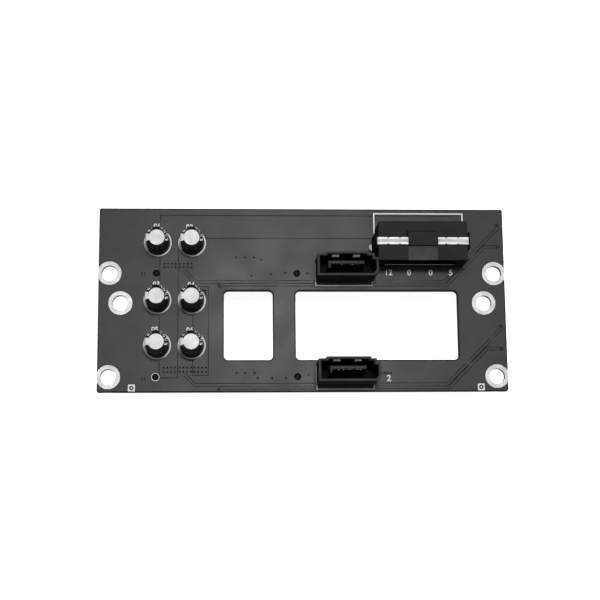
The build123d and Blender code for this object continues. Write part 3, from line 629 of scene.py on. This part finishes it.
def ringShape(tree, given):
    path, section = [put(tree, "GeometryNodeCurvePrimitiveCircle",
                         {"Resolution": sides, "Radius": given[size]}).outputs[0]
                     for sides, size in zip(via["ringSides"], ("Radius", "Section"))]
    ring = put(tree, "GeometryNodeCurveToMesh", {"Curve": path, "Profile Curve": section}).outputs[0]
    flat = (1, 1, via["ringFlatness"])
    return put(tree, "GeometryNodeTransform", {"Geometry": ring, "Scale": flat}).outputs[0]


def discShape(tree, given):
    return put(tree, "GeometryNodeMeshCylinder", {"Vertices": via["shadeDiscSides"], "Radius": given["Radius"],
                                                  "Depth": given["Thickness"]}).outputs[0]


ringTree = scatterTree("ringAtPoints", ringShape, {"Radius": 0.0003, "Section": 0.0001})
discTree = scatterTree("discAtPoints", discShape, {"Radius": 0.0005, "Thickness": 0.00005})


def gridPlaces(grids):
    return [(first[0] + i * step[0], first[1] + j * step[1])
            for first, step, count in grids for i in range(count[0]) for j in range(count[1])]


viaPlaces = list(singleVias) + gridPlaces(viaGrids)
skinZ = topZ + copper["thickness"]
ringSizes = {"Radius": via["ringRadius"], "Section": via["ringSection"]}
shadeDiscSizes = {"Radius": via["shadeDiscRadius"], "Thickness": via["shadeDiscThickness"]}
smallSizes = {**shadeDiscSizes, "Radius": via["shadeDiscRadius"] * via["smallShare"]}
# painted shade: a flat black disc in each via stands for the shade inside its hole
scatter("via_rims", ringTree, [(x, y, skinZ) for x, y in viaPlaces], maskCopper, "circuit_board", ringSizes)
scatter("via_hole_shade_discs", discTree, [(x, y, skinZ) for x, y in viaPlaces], viaHoleShade, "circuit_board", shadeDiscSizes)
scatter("small_via_hole_shade_discs", discTree, [(x, y, skinZ) for x, y in gridPlaces(smallGrids)], viaHoleShade,
        "circuit_board", smallSizes)
print("vias placed:", len(viaPlaces))

# white print: a ring with a filled side for each capacitor, corners round the headers, targets, plain numbers
printed = {"ringRadius": 4.0, "line": 0.36, "chord": -0.745, "ink": 0.012,
           "headerCorners": ((3.7, 11.5, 20.15), (3.7, -18.75, 20.15)), "headerRise": (6.6, 2.3),
           "powerCorners": ((20.97, 26.6), (20.97, 33.0), (47.05, 33.0), (47.05, 30.9)),
           "targets": ((-49.18, -18.22), (51.1, -18.22)), "targetSize": 2.0, "targetCorner": 0.25,
           "targetHole": 0.66, "typeScale": 1.35, "typeBold": 0.045}
cansAt = []
for index in range(1, 7):
    low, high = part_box(f"capacitor_{index}_can")
    cansAt.append(((low.x + high.x) / 2 / mm, (low.y + high.y) / 2 / mm))


def makePrint():
    line, radius = printed["line"], printed["ringRadius"]
    layers = []
    half = math.acos(printed["chord"])
    for centre in cansAt:
        layers.append(("add", circle(centre, radius, roundSteps["ring"])))
        layers.append(("cut", circle(centre, radius - line, roundSteps["ring"])))
        segment = circle(centre, radius - line / 2, roundSteps["land"], half, 2 * math.pi - 2 * half)
        layers.append(("add", segment))
    for left, low, right in printed["headerCorners"]:
        west, east = [low + rise for rise in printed["headerRise"]]
        layers.append(("add", strip(((left, west), (left, low), (right, low), (right, east)), line)))
    layers.append(("add", strip(printed["powerCorners"], line)))
    for target in printed["targets"]:
        layers.append(("add", roundedBox(target, [printed["targetSize"]] * 2, printed["targetCorner"], 4)))
        layers.append(("cut", circle(target, printed["targetHole"], roundSteps["peg"])))
    return layeredSheet(layers, skinZ * mm, printed["ink"] * mm)


addPiece("white_print_lines", makePrint(), ink, "circuit_board")

# plain numbers: text, place and height
numbers = {"power": (("12", 24.95), ("0", 31.0), ("0", 37.3), ("5", 43.2)), "powerRow": 15.3,
           "powerHeight": 1.75, "lowerHeader": ("2", (24.4, -15.7), 1.9), "capacitorHeight": 1.5,
           "capacitors": ((-42.3, 29.0), (-32.9, 28.8), (-42.4, 11.85), (-32.4, 11.65), (-42.7, -1.4),
                          (-32.7, -1.6))}
labels = [(text, (x, numbers["powerRow"]), numbers["powerHeight"]) for text, x in numbers["power"]]
labels.append(numbers["lowerHeader"])
for index, place in enumerate(numbers["capacitors"], start=1):
    labels.append((f"{index:02d}", place, numbers["capacitorHeight"]))


def makeNumbers():
    work = bmesh.new()
    for text, (x, y), height in labels:
        font = bpy.data.curves.new("number", "FONT")
        font.body = text
        font.size = height * printed["typeScale"] * mm
        font.align_x, font.align_y = "CENTER", "CENTER"
        font.extrude = printed["ink"] / 2 * mm
        font.offset = printed["typeBold"] * mm
        letters = bpy.data.objects.new("number", font)
        bpy.context.scene.collection.objects.link(letters)
        mesh = plainMesh(letters)
        mesh.transform(Matrix.Translation((x * mm, y * mm, (skinZ + printed["ink"] / 2) * mm)))
        work.from_mesh(mesh)
        bpy.data.meshes.remove(mesh)
    bmesh.ops.remove_doubles(work, verts=work.verts[:], dist=1e-7)
    mesh = bpy.data.meshes.new("numbers")
    work.to_mesh(mesh)
    work.free()
    return mesh


addPiece("white_print_numbers", makeNumbers(), ink, "circuit_board")

# tinned lands: round dots in the targets, long rings round the strap's legs
lands = {"dotRadius": 0.22, "legSize": (2.9, 2.4), "legShift": 0.4, "legSlot": (0.9, 2.75),
         "pegRing": (1.14, 1.01), "thickness": 0.04}
landLayers = [("add", circle(target, lands["dotRadius"], roundSteps["land"]))
              for target in printed["targets"]]
for layer, radius in zip(("add", "cut"), lands["pegRing"]):
    landLayers.append((layer, circle(board["pegHoles"][1], radius, roundSteps["pegRing"])))
for place in board["legPlaces"]:
    middle = (place[0], place[1] + lands["legShift"])
    landLayers.append(("add", roundedBox(middle, lands["legSize"], min(lands["legSize"]) / 2 - 0.01)))
    landLayers.append(("cut", roundedBox(place, lands["legSlot"], lands["legSlot"][0] / 2 - 0.01)))
landSheet = layeredSheet(landLayers, topZ * mm, lands["thickness"] * mm)
addPiece("top_lands", landSheet, brightTin, "tinned_copper")
print("white print and lands done")


# capacitor sleeves

sleeve = {"segments": 96, "wall": 0.1, "waistDepth": 0.13, "waistHeight": 1.75, "waistHalf": 0.75,
          "shoulder": 0.8, "eyeInset": 1.04, "eyeRound": 0.04, "footInset": 0.52, "footRound": 0.3,
          "shoulderSteps": 8, "waistSteps": 12}


def makeSleeve(low, high):
    centre = (low + high) / 2
    radius, wall = (high.x - low.x) / 2, sleeve["wall"] * mm
    shoulder = sleeve["shoulder"] * mm
    eye = radius - sleeve["eyeInset"] * mm
    outer = [(eye, high.z - wall / 2), (eye + sleeve["eyeRound"] * mm, high.z)]
    steps = sleeve["shoulderSteps"]
    outer += [(radius - shoulder + shoulder * math.sin(a), high.z - shoulder + shoulder * math.cos(a))
              for a in [math.pi / 2 * i / steps for i in range(steps + 1)]]
    for i in range(sleeve["waistSteps"] + 1):
        t = 2 * i / sleeve["waistSteps"] - 1
        dip = sleeve["waistDepth"] * mm * (0.5 + 0.5 * math.cos(math.pi * t))
        outer.append((radius - dip, low.z + (sleeve["waistHeight"] - t * sleeve["waistHalf"]) * mm))
    nearFoot = sleeve["footRound"] * wall
    outer += [(radius, low.z + wall), (radius - nearFoot, low.z + nearFoot), (radius - wall, low.z)]
    outer.append((radius - sleeve["footInset"] * mm, low.z))
    inner = [(max(r - wall, eye), z - wall if z > high.z - shoulder else z) for r, z in reversed(outer[1:-1])]
    profile = outer + inner
    count, ringLength = sleeve["segments"], len(profile)
    length = [0.0]
    for a, b in zip(outer, outer[1:]):
        length.append(length[-1] + math.dist(a, b))
    down = [v / length[-1] for v in length] + [1.0] * len(inner)
    turns = [2 * math.pi * i / count for i in range(count)]
    points = [(centre.x + r * math.cos(turn), centre.y + r * math.sin(turn), z)
              for turn in turns for r, z in profile]
    faces, corners = [], []
    for i in range(count):
        for j in range(ringLength):
            k = (j + 1) % ringLength
            here, there = i * ringLength, (i + 1) % count * ringLength
            faces.append((here + j, here + k, there + k, there + j))
            corners += [(i / count, down[j]), (i / count, down[k]), ((i + 1) / count, down[k]),
                        ((i + 1) / count, down[j])]
    mesh = bpy.data.meshes.new("sleeve")
    mesh.from_pydata(points, [], faces)
    layer = mesh.uv_layers.new(name="round")
    layer.data.foreach_set("uv", [value for corner in corners for value in corner])
    mesh.polygons.foreach_set("use_smooth", [True] * len(mesh.polygons))
    return mesh


for index in range(1, 7):
    node = f"capacitor_{index}_sleeve"
    addPiece(f"{node}_film", makeSleeve(*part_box(node)), sleeveFilm, "shrink_sleeve", node)
print("capacitor sleeves wrapped")


# moulded housings with rounded edges

# widths of the softened edges, the heights between which a face has another finish, and how flat it lies; on
# the housings most of these finishes are lighter copies of the plastic, painted light on rims, bevels and
# sills, while the plain plastic left on the walls is darker, painted shade
housing = {"boardEdge": 0.04, "headerEdge": 0.07, "powerEdge": 0.1, "receptacleEdge": 0.06,
           "boardFaces": (-0.2, 1.8), "rimLevel": (10.2, 11.7), "windowSill": (6.2, 6.5),
           "powerTop": (11.75, 12.7), "gripLevel": (11.6, 11.7), "plugSill": (2.3, 2.69),
           "leaning": 0.2, "bevelled": 0.3, "halfway": 0.5, "level": 0.9, "flat": 0.99,
           "edgeSteps": 2, "sharpAngle": 30.0, "flatAngle": 0.5}


def softenedCopy(node, material, slotName, width):
    mesh = cad[node].data.copy()
    work = bmesh.new()
    work.from_mesh(mesh)
    bmesh.ops.remove_doubles(work, verts=work.verts[:], dist=1e-6)
    bmesh.ops.dissolve_limit(work, angle_limit=math.radians(housing["flatAngle"]), verts=work.verts[:],
                             edges=work.edges[:])
    work.to_mesh(mesh)
    work.free()
    mesh.polygons.foreach_set("use_smooth", [True] * len(mesh.polygons))
    shell = bpy.data.objects.new(node, mesh)
    bpy.context.scene.collection.objects.link(shell)
    bevel = shell.modifiers.new("softEdges", "BEVEL")
    bevel.width, bevel.segments, bevel.harden_normals = width * mm, housing["edgeSteps"], True
    bevel.limit_method, bevel.angle_limit = "ANGLE", math.radians(housing["sharpAngle"])
    return addPiece(f"{node}_moulded", plainMesh(shell), material, slotName, node)


def finishFaces(piece, *finishes):
    # each finish goes on what lies flatter than its lean, between two heights in millimetres
    for material, (low, high), lean in finishes:
        piece.data.materials.append(material)
        for face in piece.data.polygons:
            if abs(face.normal.z) > lean and low < face.center.z / mm < high:
                face.material_index = len(piece.data.materials) - 1


boardShell = softenedCopy("board", cutEdge, "circuit_board", housing["boardEdge"])
finishFaces(boardShell, (maskBare, housing["boardFaces"], housing["halfway"]))
for index in (1, 2):
    shroud = softenedCopy(f"data_header_{index}_housing", headerPlastic, "header_plastic",
                          housing["headerEdge"])
    # painted light on rims and bevels, painted highlight on the window sills; the walls keep the darker
    # plastic as painted shade
    finishFaces(shroud, (bevelPlastic, housing["rimLevel"], housing["bevelled"]),
                (rimPlastic, housing["rimLevel"], housing["level"]),
                (sillHighlightPlastic, housing["windowSill"], housing["level"]))
    softenedCopy(f"drive_receptacle_{index}_housing", receptaclePlastic, "receptacle_plastic",
                 housing["receptacleEdge"])
powerShell = softenedCopy("power_header_housing", powerPlastic, "power_housing_plastic", housing["powerEdge"])
# painted light on the top faces, painted highlight on the plug sill; the walls keep the darker nylon as
# painted shade
finishFaces(powerShell, (powerTopPlastic, housing["powerTop"], housing["leaning"]),
            (gripPlastic, housing["gripLevel"], housing["flat"]),
            (plugSillHighlightPlastic, housing["plugSill"], housing["bevelled"]))
print("housings softened")


# back face: pads under the receptacles' feet and rings round the solder joints

# feet: how much a pad is larger than what stands on it, and its corner as a share of its narrow side
back = {"clearance": 0.2, "pad": 0.04, "nearFace": 0.06, "trackWidth": 0.3,
        "feet": {"signal_contacts": ((0.1, 0.6), 0.12), "power_contacts": ((0.1, 0.6), 0.12),
                 "anchors": ((0.8, 0.8), 0.12), "solder_joints": ((0.45, 0.45), 0.49)}}

# two signal pairs from a receptacle to its data header, the same in both bays
backTracks = (
    ((-13.62, 13.4), (-13.62, 14.6), (-10.22, 18.0), (9.4, 18.0)),
    ((-12.35, 13.4), (-12.35, 15.0), (-8.75, 18.6), (10.1, 18.6), (10.67, 18.03), (10.67, 16.12)),
    ((-9.81, 13.4), (-9.81, 14.4), (-9.41, 14.8), (-5.6, 14.8), (-4.0, 13.2), (12.4, 13.2), (13.21, 14.01),
     (13.21, 16.12)),
    ((-8.54, 13.4), (-8.54, 14.0), (-8.34, 14.2), (-6.0, 14.2), (-4.4, 12.6), (13.0, 12.6), (14.48, 14.08),
     (14.48, 18.02)),
)
bayPitch = bayRows[0] - bayRows[1]


def footprints(node):
    # centre and size, in millimetres, of each part of a node that meets the back face
    work = bmesh.new()
    work.from_mesh(cad[node].data)
    bmesh.ops.remove_doubles(work, verts=work.verts[:], dist=1e-6)
    found, met = [], set()
    for first in work.verts:
        if first in met:
            continue
        waiting, spots = [first], []
        met.add(first)
        while waiting:
            corner = waiting.pop()
            spots.append(corner.co / mm)
            joined = {edge.other_vert(corner) for edge in corner.link_edges} - met
            waiting += joined
            met |= joined
        flat = [(spot.x, spot.y) for spot in spots if abs(spot.z) < back["nearFace"]]
        if flat:
            low, high = [[pick(spot[i] for spot in flat) for i in (0, 1)] for pick in (min, max)]
            found.append(([(a + b) / 2 for a, b in zip(low, high)], [b - a for a, b in zip(low, high)]))
    work.free()
    return found


def makeBackFace():
    copperLayers, padLayers = boardLayers(), []
    for node in cad:
        for ending, (grow, share) in back["feet"].items():
            if node.endswith(ending):
                for centre, size in footprints(node):
                    pad = [side + more for side, more in zip(size, grow)]
                    clear = [side + 2 * back["clearance"] for side in pad]
                    padLayers.append(("add", roundedBox(centre, pad, min(pad) * share)))
                    copperLayers.append(("cut", roundedBox(centre, clear, min(clear) * share)))
    paths = [[(x, y - drop) for x, y in path] for path in backTracks for drop in (0.0, bayPitch)]
    for layer, width in (("cut", back["trackWidth"] + 2 * back["clearance"]), ("add", back["trackWidth"])):
        copperLayers += [(layer, strip(path, width)) for path in paths]
    return (layeredSheet(copperLayers, -copper["thickness"] * mm, copper["thickness"] * mm),
            layeredSheet(padLayers, -back["pad"] * mm, back["pad"] * mm))


backCopper, backPads = makeBackFace()
addPiece("back_copper_under_mask", backCopper, maskCopper, "circuit_board")
addPiece("back_lands", backPads, tinPlate, "tinned_copper")
# painted shade: on the back face too, a flat black disc in each via stands for the shade inside its hole
scatter("back_via_hole_shade_discs", discTree, [(x, y, -copper["thickness"]) for x, y in viaPlaces], viaHoleShade,
        "circuit_board", shadeDiscSizes)
print("back face dressed")


# floor, light and camera

# a lamp: its place, side, power, whether it lights the object and whether it is seen in gloss
studio = {"floorTone": (0.86, 0.86, 0.86), "floorRoughness": 0.9, "floorReach": 1.5, "ownLight": 0.92,
          "worldLight": 0.07,
          "lamps": {"keyLamp": ((0.0, 0.075, 0.45), 0.05, 1.35, True, False),
                    "sheenSoftbox": ((0.04, 0.165, 1.0), 0.12, 1.9, False, True),
                    "northSoftbox": ((0.0, 0.7, 0.7), 0.6, 1.4, True, False),
                    "westStrip": ((-0.75, 0.12, 0.45), 0.4, 1.2, True, False),
                    "eastStrip": ((0.75, 0.12, 0.45), 0.4, 1.2, True, False)}}


def seenDirectly(tree):
    # 1 for what the camera sees, also in a mirror or through glass
    rays = put(tree, "ShaderNodeLightPath").outputs
    return calculate(tree, "MAXIMUM", rays["Is Camera Ray"],
                     calculate(tree, "MAXIMUM", rays["Is Glossy Ray"], rays["Is Transmission Ray"]))


def makeFloor():
    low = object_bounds()[0]
    mesh = bpy.data.meshes.new("floor")
    reach = studio["floorReach"]
    corners = [(x * reach, y * reach, low.z) for x, y in ((-1, -1), (1, -1), (1, 1), (-1, 1))]
    mesh.from_pydata(corners, [], [(0, 1, 2, 3)])
    floor = bpy.data.objects.new("floor", mesh)
    bpy.context.scene.collection.objects.link(floor)
    material, tree, shader = newMaterial("paleFloor")
    shader["Base Color"].default_value = (*studio["floorTone"], 1.0)
    shader["Roughness"].default_value = studio["floorRoughness"]
    shine = times(tree, seenDirectly(tree), studio["ownLight"])
    glow = put(tree, "ShaderNodeEmission", {"Strength": shine})
    both = put(tree, "ShaderNodeAddShader", {0: tree.nodes["Principled BSDF"].outputs[0], 1: glow.outputs[0]})
    # the floor can be looked through from below
    below = put(tree, "ShaderNodeNewGeometry").outputs["Backfacing"]
    shown = put(tree, "ShaderNodeMixShader", {0: below, 1: both.outputs[0],
                                              2: put(tree, "ShaderNodeBsdfTransparent").outputs[0]})
    tree.links.new(shown.outputs[0], tree.nodes["Material Output"].inputs["Surface"])
    mesh.materials.append(material)


def addLamp(name, place, size, power, lights, mirrored):
    lamp = bpy.data.lights.new(name, "AREA")
    lamp.shape, lamp.size, lamp.energy = "SQUARE", size, power
    holder = bpy.data.objects.new(name, lamp)
    holder.location, holder.visible_diffuse, holder.visible_glossy = place, lights, mirrored
    holder.rotation_euler = (-Vector(place)).to_track_quat("-Z", "Y").to_euler()
    bpy.context.scene.collection.objects.link(holder)


makeFloor()
for name, settings in studio["lamps"].items():
    addLamp(name, *settings)
world = bpy.data.worlds.new("studio")
world.use_nodes = True
backdrop = world.node_tree.nodes["Background"].inputs
backdrop["Color"].default_value = (1, 1, 1, 1)
brightness = remap(world.node_tree, seenDirectly(world.node_tree), 0.0, 1.0, studio["worldLight"], 1.0)
world.node_tree.links.new(brightness, backdrop["Strength"])
bpy.context.scene.world = world
bpy.context.scene.view_settings.view_transform = "Standard"

# the photograph's viewpoint: place in metres, turn in degrees, lens and sensor in millimetres
view = {"place": (-0.0233083, -0.0675179, 0.3999104), "turn": (10.6443, -3.1062, -0.5697),
        "lens": 84.165, "sensor": 36.0, "reach": (0.01, 10.0)}
lens = bpy.data.cameras.new("photoView")
lens.lens, lens.sensor_width = view["lens"], view["sensor"]
lens.clip_start, lens.clip_end = view["reach"]
camera = bpy.data.objects.new("photoView", lens)
camera.location = view["place"]
camera.rotation_euler = [math.radians(angle) for angle in view["turn"]]
bpy.context.scene.collection.objects.link(camera)
bpy.context.scene.camera = camera
print("studio ready")
